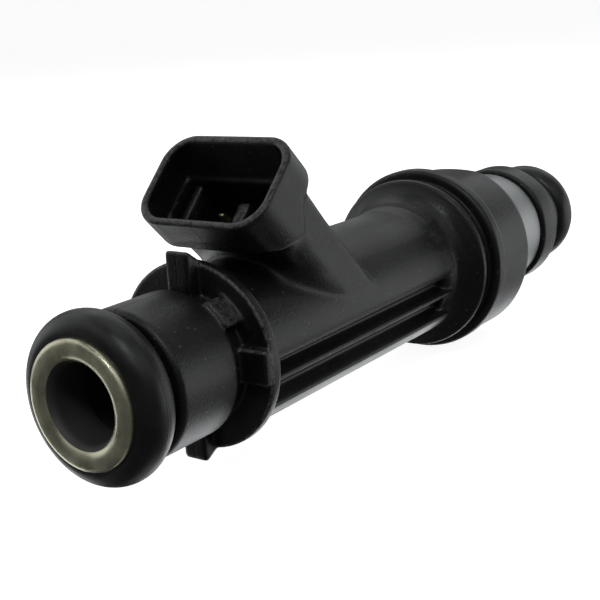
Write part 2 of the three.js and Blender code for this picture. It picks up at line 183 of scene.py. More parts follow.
def soften(outline, radius, steps=4):
    """Rounds the corners of a closed outline, each by radius or by what its sides allow."""
    points = [Vector(p) for p in outline]
    result = []
    for i, corner in enumerate(points):
        before = points[i - 1] - corner
        after = points[(i + 1) % len(points)] - corner
        reach = min(radius, 0.45 * before.length, 0.45 * after.length)
        start = corner + before.normalized() * reach
        end = corner + after.normalized() * reach
        for k in range(steps + 1):
            t = k / steps
            result.append((1 - t) ** 2 * start + 2 * t * (1 - t) * corner + t * t * end)
    return result


def arc(centre, half, start, end, steps):
    """Points of an elliptic arc in (x, radius), with angles in degrees from +X."""
    angles = [math.radians(start + (end - start) * i / steps) for i in range(steps + 1)]
    return [(centre[0] + half[0] * math.cos(a), centre[1] + half[1] * math.sin(a)) for a in angles]


def make_object(name, vertices, faces, sharp_degrees=32):
    mesh = bpy.data.meshes.new(name)
    mesh.from_pydata(vertices, [], faces)
    shaped = bmesh.new()
    shaped.from_mesh(mesh)
    bmesh.ops.remove_doubles(shaped, verts=shaped.verts, dist=1e-7)
    bmesh.ops.recalc_face_normals(shaped, faces=shaped.faces)
    if shaped.calc_volume(signed=True) < 0:
        bmesh.ops.reverse_faces(shaped, faces=shaped.faces)
    shaped.to_mesh(mesh)
    shaped.free()
    mesh.shade_smooth()
    mesh.set_sharp_from_angle(angle=math.radians(sharp_degrees))
    piece = bpy.data.objects.new(name, mesh)
    bpy.context.scene.collection.objects.link(piece)
    return piece


def turned(name, outline):
    """A closed outline of (x, radius) points turned about the X axis."""
    count = len(outline)
    vertices = []
    for i in range(LATHE_STEPS):
        angle = 2 * math.pi * i / LATHE_STEPS
        for x, r in outline:
            vertices.append((x * MM, r * math.sin(angle) * MM, r * math.cos(angle) * MM))
    faces = []
    for i in range(LATHE_STEPS):
        here, there = i * count, (i + 1) % LATHE_STEPS * count
        for k in range(count):
            following = (k + 1) % count
            faces.append((here + k, there + k, there + following, here + following))
    return make_object(name, vertices, faces)


def show(piece, node, material, body="body"):
    """Puts a piece on its body, in place of a CAD node, with its material."""
    piece.data.materials.clear()
    piece.data.materials.append(material)
    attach(piece, body)
    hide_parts(node)


# ---- distance fields -----------------------------------------------------------------------------


class Field:
    """A grid to sample signed distances on, negative inside, for moulded shapes with soft corners.

    r and angle (degrees from +Z) are measured round the injector's axis. depth is measured inward
    from the connector's mouth, and across over its thickness, from its middle towards the nozzle.
    """

    def __init__(self, low, high):
        self.low = np.array(low)
        axes = [np.arange(a, b, GRID_STEP, dtype=np.float32) for a, b in zip(low, high)]
        self.x, self.y, self.z = np.meshgrid(*axes, indexing="ij")
        self.r = np.hypot(self.y, self.z)
        self.angle = np.degrees(np.arctan2(np.abs(self.y), self.z))
        inward = (math.sin(TILT), -math.cos(TILT))
        across = (math.cos(TILT), math.sin(TILT))
        from_x, from_z = self.x - MOUTH[0], self.z - MOUTH[2]
        self.depth = from_x * inward[0] + from_z * inward[1]
        self.across = from_x * across[0] + from_z * across[1]

    def outline(self, u, v, points):
        """Signed distance to a closed outline in two of the grid's coordinates."""
        nearest = np.full(u.shape, 1e9, dtype=np.float32)
        inside = np.zeros(u.shape, dtype=bool)
        for (au, av), (bu, bv) in zip(points, points[1:] + points[:1]):
            du, dv = bu - au, bv - av
            t = np.clip(((u - au) * du + (v - av) * dv) / (du * du + dv * dv), 0, 1)
            nearest = np.minimum(nearest, (u - au - t * du) ** 2 + (v - av - t * dv) ** 2)
            if dv:
                crosses = (v >= min(av, bv)) & (v < max(av, bv))
                inside ^= crosses & (u < au + (v - av) * du / dv)
        return np.where(inside, -1, 1) * np.sqrt(nearest)

    def turned(self, points):
        """An outline of (x, radius) points turned about the X axis."""
        return self.outline(self.x, self.r, points)

    def prism(self, half, corner, start, end, round_end=0.0):
        """A rounded rectangle run inward along the connector, between two depths."""
        side = np.abs(self.y) - (half[0] - corner)
        height = np.abs(self.across) - (half[1] - corner)
        outer = np.hypot(np.maximum(side, 0), np.maximum(height, 0))
        wall = outer + np.minimum(np.maximum(side, height), 0) - corner
        return cut_soft(np.maximum(wall, start - self.depth), self.depth - end, round_end)

    def plate(self, points, half_width):
        """An outline of (x, z) points as a plate across the body."""
        return np.maximum(self.outline(self.x, self.z, points), np.abs(self.y) - half_width)

    def sector(self, start, end, bore, radius, low, high):
        """Part of a ring on both sides of the body, between two angles in degrees from +Z."""
        spread = np.maximum(low - self.angle, self.angle - high) * self.r * math.pi / 180
        walls = np.maximum(np.maximum(start - self.x, self.x - end), spread)
        return np.maximum(walls, np.maximum(bore - self.r, self.r - radius))

    def surface(self, name, field, blur):
        """The field's zero surface as an object, with every edge softened by a small blur."""
        for _ in range(blur):
            for axis in range(3):
                field = 0.25 * (np.roll(field, 1, axis) + 2 * field + np.roll(field, -1, axis))
        grid = openvdb.FloatGrid(background=3.0)
        grid.copyFromArray(np.clip(field, -3, 3).astype(np.float32))
        points, triangles, quads = grid.convertToPolygons(isovalue=0.0)
        vertices = (points * GRID_STEP + self.low) * MM
        faces = [tuple(f) for f in triangles.tolist()] + [tuple(f) for f in quads.tolist()]
        return make_object(name, vertices.tolist(), faces, sharp_degrees=60)


def join_soft(a, b, radius):
    """Union with a fillet of about this radius in the corner between the two."""
    if np.ndim(radius) == 0 and not radius:
        return np.minimum(a, b)
    h = np.clip(0.5 + 0.5 * (b - a) / radius, 0, 1)
    return b + (a - b) * h - radius * h * (1 - h)


def cut_soft(a, b, radius):
    """Intersection with the edge between the two rounded by about this radius."""
    return -join_soft(-a, -b, radius)


# ---- moulded body --------------------------------------------------------------------------------


def body_core(field):
    """The turned part of the body: neck, flange, tapering barrel, and the bell at its back."""
    barrel = field.turned([
        (NECK_START, 0), (NECK_START, NECK_RADIUS - 0.35), (NECK_START + 0.35, NECK_RADIUS),
        (NECK_END, NECK_RADIUS), (NECK_END, GROOVE_RADIUS), (FLANGE_FRONT, GROOVE_RADIUS),
        (FLANGE_FRONT, FLANGE_RADIUS), (FLANGE_BACK, FLANGE_RADIUS), (FLANGE_BACK, BODY_RADIUS),
        (WAIST_START, BODY_RADIUS), (CONE_START + 2, WAIST_RADIUS), (CONE_START + 2, 0),
    ])
    bell = field.turned([
        (CONE_START, 0), (CONE_START, WAIST_RADIUS - 0.4), (CONE_START + 1.5, WAIST_RADIUS + 0.1),
        (CONE_END - 0.7, WAIST_RADIUS + 1.1), (CONE_END - 0.15, CONE_RADIUS - 0.5),
        (CONE_END, CONE_RADIUS), (BODY_END, CONE_RADIUS), (BODY_END, 0),
    ])
    on_top = np.clip((STRIP_EDGE + 10 - field.angle) / 20, 0, 1)
    return join_soft(barrel, bell, 0.7 + 1.5 * on_top)


def add_keel(field, shape):
    """Cuts the grooves under the barrel, and adds the keel and a narrow rib on each side."""
    side_groove = field.sector(FLANGE_BACK, CONE_START - 0.3, SIDE_GROOVE_FLOOR, BARREL_CLEAR,
                               *SIDE_GROOVE_EDGES)
    low_groove = field.sector(FLANGE_BACK, CONE_START - 0.3, LOW_GROOVE_FLOOR, BARREL_CLEAR,
                              *LOW_GROOVE_EDGES)
    keel = field.sector(FLANGE_BACK - 0.3, CONE_START + 1.2, BARREL_CORE, KEEL_RADIUS, *KEEL_EDGES)
    rib = field.sector(FLANGE_BACK - 0.3, CONE_START + 0.7, BARREL_CORE, RIB_RADIUS, *RIB_EDGES)
    shape = cut_soft(shape, -side_groove, 1.6)
    shape = cut_soft(shape, -low_groove, 0.2)
    flange = np.maximum(FLANGE_FRONT - field.x, field.x - FLANGE_BACK)
    flange = np.maximum(flange, field.r - FLANGE_RADIUS)  # again, as the soft cuts reach into it
    return np.minimum(np.minimum(shape, flange), np.minimum(keel, rib))


def add_flange_details(field, shape):
    """Adds a curved step behind the neck, a flat bar below it, and the two locating tabs."""
    step = field.sector(STEP_START, FLANGE_FRONT + 0.4, BARREL_CORE, STEP_RADIUS, *STEP_EDGES)
    step = np.maximum(step, field.y)  # only on the -Y side
    bar_back = FLANGE_FRONT + 0.45
    bar = field.plate([(BAR_START, BAR_BOTTOM), (BAR_START, BAR_TOP), (bar_back, BAR_TOP),
                       (bar_back, BAR_BOTTOM)], BAR_HALF_WIDTH)
    shape = np.minimum(shape, np.minimum(step, bar))
    root = GROOVE_RADIUS - 0.6
    top_tab = [(12.75, root), (12.75, 9.45), (13, 9.72), (14.4, 8.7), (15.2, 8.35), (15.2, root)]
    low_tab = [(13, -root), (13, -9.1), (13.25, -9.4), (14.7, -8.6), (15.2, -8.35), (15.2, -root)]
    for outline in (top_tab, low_tab):
        shape = np.minimum(shape, field.plate(outline, TAB_HALF_WIDTH))
    return shape


def connector(field):
    """A wide mouth block on a flat stem that runs down into the barrel's sides."""
    flare = np.clip((9 - field.depth) / 5, 0, 1) * 0.3
    behind = field.across > 0
    half = (STEM_HALF[0] + flare, np.where(behind, STEM_BACK, STEM_HALF[1]))
    corner = np.where(behind, STEM_BACK_CORNER, STEM_CORNER)
    stem = field.prism(half, corner, 1.0, STEM_LENGTH)
    stem = np.maximum(stem, STEM_LOWEST_Z - field.z)
    block = field.prism(MOUTH_HALF, MOUTH_CORNER, 0.0, SHELL_DEPTH, round_end=0.4)
    # the fillet under the block is large at its corner on the -Y side, towards the inlet
    fillet = 3.0 * np.clip((-field.y - 4.4) / 2, 0, 1) * np.clip(0.5 - field.across / 2, 0, 1)
    column = field.prism(MOUTH_HALF, MOUTH_CORNER, 0.0, STEM_LENGTH)  # the block's own outline
    return cut_soft(join_soft(stem, block, 0.4 + fillet), column, 0.15)


def socket(field):
    """The hollow of a wide mouth and a narrower well, less the key bars on the well's floor."""
    inner = (MOUTH_HALF[0] - SHELL_WALL, MOUTH_HALF[1] - SHELL_WALL)
    mouth = field.prism(inner, MOUTH_CORNER - 0.6, -2.0, SOCKET_STEP)
    back_wall = field.across + SOCKET_SLOPE * field.depth - inner[1]
    mouth = np.maximum(mouth, back_wall / math.hypot(1, SOCKET_SLOPE))
    hollow = np.minimum(mouth, field.prism(WELL_HALF, 0.6, 0.0, SOCKET_DEPTH))
    centre_key = np.maximum(np.abs(field.y) - KEY_HALF_WIDTH, field.across - KEY_BACK)
    centre_key = np.maximum(centre_key, KEY_DEPTH - field.depth)
    side_key = np.abs(np.abs(field.y) - SIDE_KEY_Y) - SIDE_KEY_HALF_WIDTH
    side_key = np.maximum(side_key, SIDE_KEY_DEPTH - field.depth)
    return np.maximum(hollow, -np.minimum(centre_key, side_key))


def terminal_channels(field):
    """The hollow that each terminal runs in: down the connector, then along the body."""
    reach = TERMINAL_THICKNESS / 2 + TERMINAL_GAP
    blade = np.maximum(np.abs(field.across), KEY_DEPTH - field.depth)
    blade = np.maximum(blade - reach, TERMINAL_RUN_Z - reach - field.z)
    run = np.abs(field.z - TERMINAL_RUN_Z) - reach
    run = np.maximum(run, TERMINAL_BEND_X - 0.3 - field.x)
    beside = np.abs(np.abs(field.y) - TERMINAL_Y) - TERMINAL_WIDTH / 2 - TERMINAL_GAP
    return np.maximum(np.minimum(blade, run), beside)


def moulded_body():
    """The whole moulding: the turned core, the keel, the flange's details and the connector."""
    field = Field((4.4, -9.9, -10.4), (52.8, 9.9, 19.2))
    shape = body_core(field)
    beside_strip = np.maximum(STRIP_START - field.x, field.x - CONE_START)
    beside_strip = np.maximum(field.angle - STRIP_EDGE, beside_strip)
    shape = np.minimum(shape, np.maximum(shape - STRIP_RISE, beside_strip))
    shape = add_keel(field, shape)
    shape = add_flange_details(field, shape)
    towards_inlet = np.clip(-field.across / 2, 0, 1) * np.clip((field.z - 3) / 2, 0, 1)
    shape = join_soft(shape, connector(field), 0.25 + 1.75 * towards_inlet)
    tube_bore = field.r - BODY_BORE
    hollow = np.minimum(np.minimum(socket(field), terminal_channels(field)), tube_bore)
    return field.surface("moulded_body_skin", np.maximum(shape, -hollow), blur=2)


# ---- coil cover ----------------------------------------------------------------------------------


def coil_cover():
    """A cup with a rim round its front, a slight flat on top and a bulge underneath."""
    side = RIM_RADIUS + 0.5
    field = Field((COVER_START - 0.5, -side, -side), (COVER_END + 0.6, side, side))
    rim = field.turned([
        (COVER_START, 0), (COVER_START, COVER_BACK_RADIUS), (RIM_START, COVER_BACK_RADIUS),
        (RIM_START, RIM_RADIUS - 0.3), (RIM_START + 0.3, RIM_RADIUS), (RIM_END, RIM_RADIUS),
        (RIM_END, 0),
    ])
    drum = field.turned([
        (RIM_END - 1, 0), (RIM_END - 1, COVER_RADIUS), (COVER_END, COVER_RADIUS), (COVER_END, 0),
    ])
    drum = cut_soft(drum, field.x - COVER_END, 1.0)
    drum = cut_soft(drum, field.z - COVER_FLAT_Z, 0.8)
    low_radius = np.hypot(field.y, field.z + BULGE_DROP) - BULGE_RADIUS
    bulge = np.maximum(low_radius, RIM_END - 0.6 - field.x)
    bulge = cut_soft(bulge, field.x - COVER_END, 1.4)
    shape = join_soft(np.minimum(rim, drum), bulge, 0.3)
    bore = np.maximum(field.r - COVER_BORE, field.x - COVER_WALL)
    hollow = np.minimum(bore, field.r - VALVE_RADIUS - 0.1)
    return field.surface("coil_cover_skin", np.maximum(shape, -hollow), blur=1)


# ---- turned pieces -------------------------------------------------------------------------------


def inlet_tube():
    """A tube whose mouth is rolled out into a lip with a rounded throat."""
    throat_half = (1.15, 1.1)
    throat = arc((throat_half[0], TUBE_MOUTH_BORE + throat_half[1]), throat_half, 180, 270, 16)
    outline = [
        (0.0, LIP_RADIUS - 0.5), (0.06, LIP_RADIUS - 0.25), (0.2, LIP_RADIUS - 0.08),
        (0.42, LIP_RADIUS), (0.66, LIP_RADIUS - 0.04), (0.85, LIP_RADIUS - 0.25),
        (0.9, TUBE_RADIUS + 0.2), (1.1, TUBE_RADIUS), (TUBE_END, TUBE_RADIUS),
        (TUBE_END, TUBE_BORE), (4.5, TUBE_BORE), (4.1, TUBE_MOUTH_BORE),
    ]
    return turned("inlet_tube_skin", outline + list(reversed(throat)))


def seal(name, centre, half_width, inner, outer):
    """An O-ring with an elliptic section between two radii."""
    middle = (inner + outer) / 2
    section = arc((centre, middle), (half_width, outer - middle), 0, 360, 48)[:-1]
    return turned(name, section)


def valve_body():
    """A stepped steel tube, bored for the armature, the stem and the seat."""
    outline = [
        (VALVE_START, ARMATURE_BORE), (VALVE_START, VALVE_RADIUS), (VALVE_SHOULDER, VALVE_RADIUS),
        (VALVE_SHOULDER, VALVE_NECK), (VALVE_END, VALVE_NECK), (VALVE_END, SEAT_POCKET),
        (SEAT_POCKET_START, SEAT_POCKET), (SEAT_POCKET_START, STEM_BORE),
        (ARMATURE_BORE_END, STEM_BORE), (ARMATURE_BORE_END, ARMATURE_BORE),
    ]
    return turned("valve_body_skin", soften(outline, 0.25))


def seal_sleeve():
    """A ring and a thinner shaft in one moulding, pressed over the valve body's neck."""
    bore = VALVE_NECK + 0.1
    outline = [
        (SLEEVE_START, bore), (SLEEVE_START, SLEEVE_RADIUS), (SLEEVE_SHOULDER, SLEEVE_RADIUS),
        (SLEEVE_SHOULDER, SLEEVE_NECK), (SLEEVE_END, SLEEVE_NECK), (SLEEVE_END, bore),
    ]
    return turned("seal_sleeve_skin", soften(outline, 0.5, steps=6))


def nozzle_cap():
    outline = [
        (CAP_START, CAP_BORE), (CAP_START, CAP_RADIUS), (CAP_END, CAP_RADIUS), (CAP_END, CAP_BORE),
    ]
    return turned("nozzle_cap_skin", soften(outline, 0.5, steps=6))


def terminal(name, side):
    """A blade down the connector that bends to run along the body, with a tapered tip."""
    half = TERMINAL_THICKNESS / 2
    tip = (MOUTH[0] + TERMINAL_TIP * math.sin(TILT), MOUTH[2] - TERMINAL_TIP * math.cos(TILT))
    shift = half * math.tan(TILT / 2)
    near = 0.4 * half
    down = 0.8 * math.sin(TILT)
    outline = [
        (tip[0] + near * math.cos(TILT), tip[1] + near * math.sin(TILT)),
        (tip[0] + down + half * math.cos(TILT), tip[1] - down + half * math.sin(TILT)),
        (TERMINAL_BEND_X + shift, TERMINAL_RUN_Z + half),
        (TERMINAL_END, TERMINAL_RUN_Z + half),
        (TERMINAL_END, TERMINAL_RUN_Z - half),
        (TERMINAL_BEND_X - shift, TERMINAL_RUN_Z - half),
        (tip[0] + down - half * math.cos(TILT), tip[1] - down - half * math.sin(TILT)),
        (tip[0] - near * math.cos(TILT), tip[1] - near * math.sin(TILT)),
    ]
    count = len(outline)
    vertices = []
    for y in (-TERMINAL_WIDTH / 2, TERMINAL_WIDTH / 2):
        for i, (x, z) in enumerate(outline):
            narrow = 0.6 if i in (0, count - 1) else 1.0
            vertices.append((x * MM, (side * TERMINAL_Y + y * narrow) * MM, z * MM))
    faces = [tuple(range(count)), tuple(reversed(range(count, 2 * count)))]
    for i in range(count):
        following = (i + 1) % count
        faces.append((i, i + count, following + count, following))
    piece = make_object(name, vertices, faces)
    bevel = piece.modifiers.new("edges", "BEVEL")
    bevel.width = 0.08 * MM
    bevel.segments = 3
    return piece


# ---- materials -----------------------------------------------------------------------------------

NYLON_DARK = (0.005, 0.0052, 0.0055)
NYLON_LIGHT = (0.008, 0.0083, 0.0086)
NYLON_GRAIN = (0.022, 0.0225, 0.023)
# pale, for rubbed places and for painted highlights
NYLON_WORN_AND_HIGHLIT = (0.11, 0.108, 0.1)
NYLON_DUST = (0.16, 0.155, 0.145)
RUBBER_DARK = (0.0075, 0.0077, 0.008)
RUBBER_LIGHT = (0.013, 0.0132, 0.0135)
RUBBER_DUST = (0.12, 0.12, 0.115)
BORE_SHADE_GREY = (0.13, 0.13, 0.125)
PARTING_END = 27.1  # x + z, in front of the connector


class Nodes:
    """A material's node tree, with short calls for the nodes used here. Sizes are millimetres."""

    def __init__(self, name):
        self.material = bpy.data.materials.new(name)
        self.material.use_nodes = True
        self.tree = self.material.node_tree
        self.shader = self.tree.nodes["Principled BSDF"]
        self.place = self.add("ShaderNodeTexCoord").outputs["Object"]

    def add(self, kind, **settings):
        node = self.tree.nodes.new(kind)
        for key, value in settings.items():
            setattr(node, key, value)
        return node

    def feed(self, socket, value):
        if isinstance(value, bpy.types.NodeSocket):
            self.tree.links.new(value, socket)
        else:
            socket.default_value = value

    def math(self, operation, a, b=0.0):
        node = self.add("ShaderNodeMath", operation=operation)
        self.feed(node.inputs[0], a)
        self.feed(node.inputs[1], b)
        return node.outputs[0]

    def noise(self, per_mm, detail=3.0, rough=0.5, stretch=(1, 1, 1)):
        """Soft noise, with about this many blotches per millimetre."""
        mapping = self.add("ShaderNodeMapping")
        mapping.inputs["Scale"].default_value = stretch
        self.feed(mapping.inputs["Vector"], self.place)
        node = self.add("ShaderNodeTexNoise")
        self.feed(node.inputs["Vector"], mapping.outputs[0])
        node.inputs["Scale"].default_value = per_mm / MM
        node.inputs["Detail"].default_value = detail
        node.inputs["Roughness"].default_value = rough
        return node.outputs["Fac"]

    def ramp(self, value, low, high, from_value=0.0, to_value=1.0):
        """A smooth step from one value to another, as the input goes from low to high."""
        node = self.add("ShaderNodeMapRange", interpolation_type="SMOOTHSTEP")
        node.inputs["From Min"].default_value = low
        node.inputs["From Max"].default_value = high
        node.inputs["To Min"].default_value = from_value
        node.inputs["To Max"].default_value = to_value
        self.feed(node.inputs["Value"], value)
        return node.outputs["Result"]

    def blend(self, factor, a, b):
        """A mix of two colours, each a colour triple or another node's output."""
        node = self.add("ShaderNodeMix", data_type="RGBA")
        self.feed(node.inputs["Factor"], factor)
        self.feed(node.inputs[6], a if isinstance(a, bpy.types.NodeSocket) else (*a, 1))
        self.feed(node.inputs[7], b if isinstance(b, bpy.types.NodeSocket) else (*b, 1))
        return node.outputs[2]

    def specks(self, per_mm, size):
        """Sparse small dots, such as dust on a surface."""
        node = self.add("ShaderNodeTexVoronoi")
        self.feed(node.inputs["Vector"], self.place)
        node.inputs["Scale"].default_value = per_mm / MM
        rare = self.add("ShaderNodeSeparateColor")
        self.feed(rare.inputs[0], node.outputs["Color"])
        near = self.ramp(node.outputs["Distance"], size, size * 0.5)
        return self.math("MULTIPLY", near, self.math("GREATER_THAN", rare.outputs[0], 0.9))

    def axis(self, index):
        split = self.add("ShaderNodeSeparateXYZ")
        self.feed(split.inputs[0], self.place)
        return split.outputs[index]

    def radius(self):
        """Distance from the injector's axis."""
        across = self.math("POWER", self.axis(1), 2.0)
        return self.math("SQRT", self.math("ADD", across, self.math("POWER", self.axis(2), 2.0)))

    def above(self, coordinate, place):
        """1 where a coordinate is greater than a place in millimetres, and 0 elsewhere."""
        return self.math("GREATER_THAN", coordinate, place * MM)

    def line(self, coordinate, place, half_width):
        """1 on a soft-edged line round a place on a coordinate, in millimetres."""
        away = self.math("ABSOLUTE", self.math("SUBTRACT", coordinate, place * MM))
        return self.ramp(away, half_width * MM, half_width * 0.4 * MM)

    def bump(self, height, distance, under=None):
        """A normal bent by a height, on top of another bump's normal if there is one."""
        node = self.add("ShaderNodeBump")
        node.inputs["Distance"].default_value = distance * MM
        node.inputs["Strength"].default_value = 1.0
        self.feed(node.inputs["Height"], height)
        if under is not None:
            self.feed(node.inputs["Normal"], under)
        return node.outputs[0]

    def finish(self, colour, roughness, normal, metallic=0.0):
        self.feed(self.shader.inputs["Base Color"], colour)
        self.feed(self.shader.inputs["Roughness"], roughness)
        self.feed(self.shader.inputs["Normal"], normal)
        self.shader.inputs["Metallic"].default_value = metallic
        self.shader.inputs["IOR"].default_value = 1.5
        return self.material


def worn_and_highlit_places(n):
    """1 where the body is painted pale: rubbed places mixed with painted highlights, on the mouth's
    rim, the keys, the flange's edge and details.
    """
    x, y, z, radius = n.axis(0), n.axis(1), n.axis(2), n.radius()
    inward = n.math("SUBTRACT", x, z)
    mouth = n.ramp(inward, (MOUTH_PLANE + 0.3) * MM, (MOUTH_PLANE + 0.05) * MM)
    mouth = n.math("MULTIPLY", n.math("MULTIPLY", mouth, 0.7), n.above(z, 9.5))

    key_plane = MOUTH_PLANE + 0.5 * (KEY_DEPTH + SIDE_KEY_DEPTH) / math.cos(TILT)
    keys = n.line(inward, key_plane, 1.2)
    in_socket = n.line(n.math("ADD", x, z), MOUTH[0] + MOUTH[2], 3.0)
    in_socket = n.math("MULTIPLY", in_socket, n.line(y, 0, 5.9))
    keys = n.math("MULTIPLY", keys, in_socket)

    edge = n.above(radius, FLANGE_RADIUS - 0.25)
    edge = n.math("MULTIPLY", n.line(x, FLANGE_FRONT, 0.3), edge)
    # the step's outer face, painted pale as a highlight
    step = n.line(radius, STEP_RADIUS - 0.05, 0.35)
    step = n.math("MULTIPLY", n.line(x, 13.1, 1.3), step)
    beside_tab = n.math("MULTIPLY", n.above(z, 3.2), n.math("LESS_THAN", y, -2.5 * MM))
    step = n.math("MULTIPLY", n.math("MULTIPLY", step, beside_tab), 0.6)
    bar = n.math("MULTIPLY", n.line(x, BAR_START + 0.1, 0.4), n.line(z, BAR_TOP, 0.25))
    bar = n.math("MULTIPLY", bar, n.above(radius, 5.8))
    details = n.math("MAXIMUM", n.math("MAXIMUM", step, edge), bar)
    return n.math("MAXIMUM", keys, n.math("MAXIMUM", mouth, details))


def black_nylon(name, body=True):
    """Satin black moulded nylon: fine grain, faint flow marks and dust, and the body's own rubbed
    places with painted highlights.
    """
    n = Nodes(name)
    flow = n.noise(0.25, detail=4, stretch=(0.5, 1, 1))
    grain = n.noise(5.0, detail=3)
    specks = n.specks(2.0, 0.3)
    tone = n.blend(n.ramp(flow, 0.35, 0.7), NYLON_DARK, NYLON_LIGHT)
    tone = n.blend(n.ramp(grain, 0.5, 0.8), tone, NYLON_GRAIN)
    if body:
        # rubbed places and painted highlights on the rim, keys and flange, painted pale
        wear_and_highlight = n.math("MULTIPLY", worn_and_highlit_places(n), n.ramp(n.noise(3.0, detail=3), 0.34, 0.62))
        tone = n.blend(wear_and_highlight, tone, NYLON_WORN_AND_HIGHLIT)
    tone = n.blend(n.math("MULTIPLY", specks, 0.4), tone, NYLON_DUST)
    rough = n.math("ADD", n.ramp(flow, 0.3, 0.7, 0.3, 0.38), n.math("MULTIPLY", grain, 0.06))
    height = n.math("ADD", grain, n.math("MULTIPLY", n.noise(2.2), 0.2))
    normal = n.bump(height, 0.034)
    if body:
        # the moulding's parting line on the plane of symmetry, but not on the connector's back
        parting = n.line(n.axis(1), 0.0, 0.08)
        in_front = n.math("LESS_THAN", n.math("ADD", n.axis(0), n.axis(2)), PARTING_END * MM)
        parting = n.math("MULTIPLY", parting, in_front)
        n.feed(n.shader.inputs["Specular IOR Level"], n.ramp(parting, 0.0, 1.0, 0.5, 0.1))
        normal = n.bump(n.math("SUBTRACT", 1.0, parting), 0.01, under=normal)
    return n.finish(tone, rough, normal)


def rubber(name, flash_place):
    """Matte black rubber with a faint flash line round its outside."""
    n = Nodes(name)
    cloud = n.noise(0.6, detail=4)
    fine = n.noise(12.0, detail=2)
    tone = n.blend(n.ramp(cloud, 0.3, 0.75), RUBBER_DARK, RUBBER_LIGHT)
    tone = n.blend(n.math("MULTIPLY", n.specks(0.9, 0.09), 0.3), tone, RUBBER_DUST)
    rough = n.ramp(cloud, 0.3, 0.7, 0.33, 0.43)
    normal = n.bump(n.math("ADD", fine, n.noise(3.0)), 0.008)
    normal = n.bump(n.line(n.axis(0), flash_place, 0.06), 0.02, under=normal)
    return n.finish(tone, rough, normal)


def steel(name, light, dark, rough=(0.26, 0.4), metallic=1.0):
    """Turned and plated steel: fine marks round the axis, patchy tone and worn patches, and painted
    shade in the bore, which is also rougher.
    """
    n = Nodes(name)
    cloud = n.noise(0.5, detail=5, rough=0.6)
    radius = n.radius()
    rings = n.add("ShaderNodeCombineXYZ")
    n.feed(rings.inputs[0], n.axis(0))
    n.feed(rings.inputs[1], radius)
    marks = n.add("ShaderNodeTexNoise")
    n.feed(marks.inputs["Vector"], rings.outputs[0])
    marks.inputs["Scale"].default_value = 6.0 / MM
    marks.inputs["Detail"].default_value = 3.0
    marks = marks.outputs["Fac"]
    tone = n.blend(n.ramp(cloud, 0.25, 0.75), dark, light)
    # painted shade: the bore's inside is coloured dark grey, and made rougher
    inside = n.ramp(radius, (TUBE_BORE + 0.1) * MM, (TUBE_BORE + 0.02) * MM)
    tone = n.blend(inside, tone, BORE_SHADE_GREY)
    roughness = n.math("ADD", n.ramp(cloud, 0.3, 0.7, *rough), n.math("MULTIPLY", marks, 0.08))
    roughness = n.math("ADD", roughness, n.math("MULTIPLY", inside, 0.35))
    normal = n.bump(n.math("ADD", marks, n.math("MULTIPLY", n.noise(5.0), 0.6)), 0.006)
    return n.finish(tone, roughness, normal, metallic)


def plain_grain(name, light, dark, rough, metallic=0.0):
    """A quiet material for inner pieces: two close tones, fine grain and uneven gloss."""
    n = Nodes(name)
    cloud = n.noise(0.8, detail=4)
    tone = n.blend(n.ramp(cloud, 0.3, 0.7), dark, light)
    normal = n.bump(n.noise(8.0), 0.006)
    return n.finish(tone, n.ramp(cloud, 0.3, 0.7, rough, rough + 0.12), normal, metallic)


nylon = black_nylon("moulded_nylon")
cover_nylon = black_nylon("cover_nylon", body=False)
zinc_steel = steel("zinc_steel", (0.74, 0.73, 0.54), (0.52, 0.5, 0.35), rough=(0.22, 0.36),
                   metallic=0.85)
grey_steel = steel("grey_steel", (0.46, 0.475, 0.47), (0.38, 0.395, 0.39), rough=(0.35, 0.45))
magnetic_steel = steel("magnetic_steel", (0.46, 0.47, 0.48), (0.34, 0.35, 0.36))
gold = plain_grain("gold_plate", (1.0, 0.9, 0.45), (0.9, 0.78, 0.36), 0.3, metallic=1.0)
copper = plain_grain("copper_wire", (0.66, 0.3, 0.14), (0.5, 0.2, 0.09), 0.3, metallic=1.0)
brass = plain_grain("filter_brass", (0.58, 0.43, 0.2), (0.42, 0.3, 0.13), 0.35, metallic=1.0)
pale_nylon = plain_grain("filter_nylon", (0.42, 0.4, 0.35), (0.34, 0.32, 0.27), 0.5)

by_slot = {
    "moulded_nylon": nylon,
    "zinc_steel": zinc_steel,
    "grey_steel": grey_steel,
    "magnetic_steel": magnetic_steel,
    "gold_plate": gold,
    "copper_wire": copper,
    "filter_brass": brass,
    "filter_nylon": pale_nylon,
    "seal_rubber": rubber("seal_rubber", 2.5),
}

# ---- pieces --------------------------------------------------------------------------------------

for entry in frame["record"]["subparts"]:
    material = by_slot[entry["material_slot"]]
    node = frame["nodes"][entry["node"]]
    node.data.materials.clear()
    node.data.materials.append(material)

show(moulded_body(), "moulded_body", nylon)
show(coil_cover(), "coil_cover", cover_nylon)
show(inlet_tube(), "inlet_tube", zinc_steel)
inlet_seal = seal("inlet_seal_skin", INLET_SEAL_X, INLET_SEAL_HALF_WIDTH, TUBE_RADIUS + 0.05,
                  INLET_SEAL_RADIUS)
show(inlet_seal, "inlet_seal", rubber("inlet_rubber", INLET_SEAL_X))
show(valve_body(), "valve_body", grey_steel)
show(seal_sleeve(), "seal_sleeve", cover_nylon)
nozzle_seal = seal("nozzle_seal_skin", NOZZLE_SEAL_X, NOZZLE_SEAL_HALF_WIDTH, VALVE_NECK + 0.05,
                   NOZZLE_SEAL_RADIUS)
show(nozzle_seal, "nozzle_seal", rubber("nozzle_rubber", NOZZLE_SEAL_X))
show(nozzle_cap(), "nozzle_cap", cover_nylon)
show(terminal("terminal_left_skin", 1), "terminal_left", gold)
show(terminal("terminal_right_skin", -1), "terminal_right", gold)

# ---- floor, light and camera ---------------------------------------------------------------------

FLOOR_Z = -10.45
FLOOR_SIDES = 48
FLOOR_PROFILE = ((1500, 0), (1850, 70), (2100, 260), (2250, 600), (2300, 1700))  # radius and rise

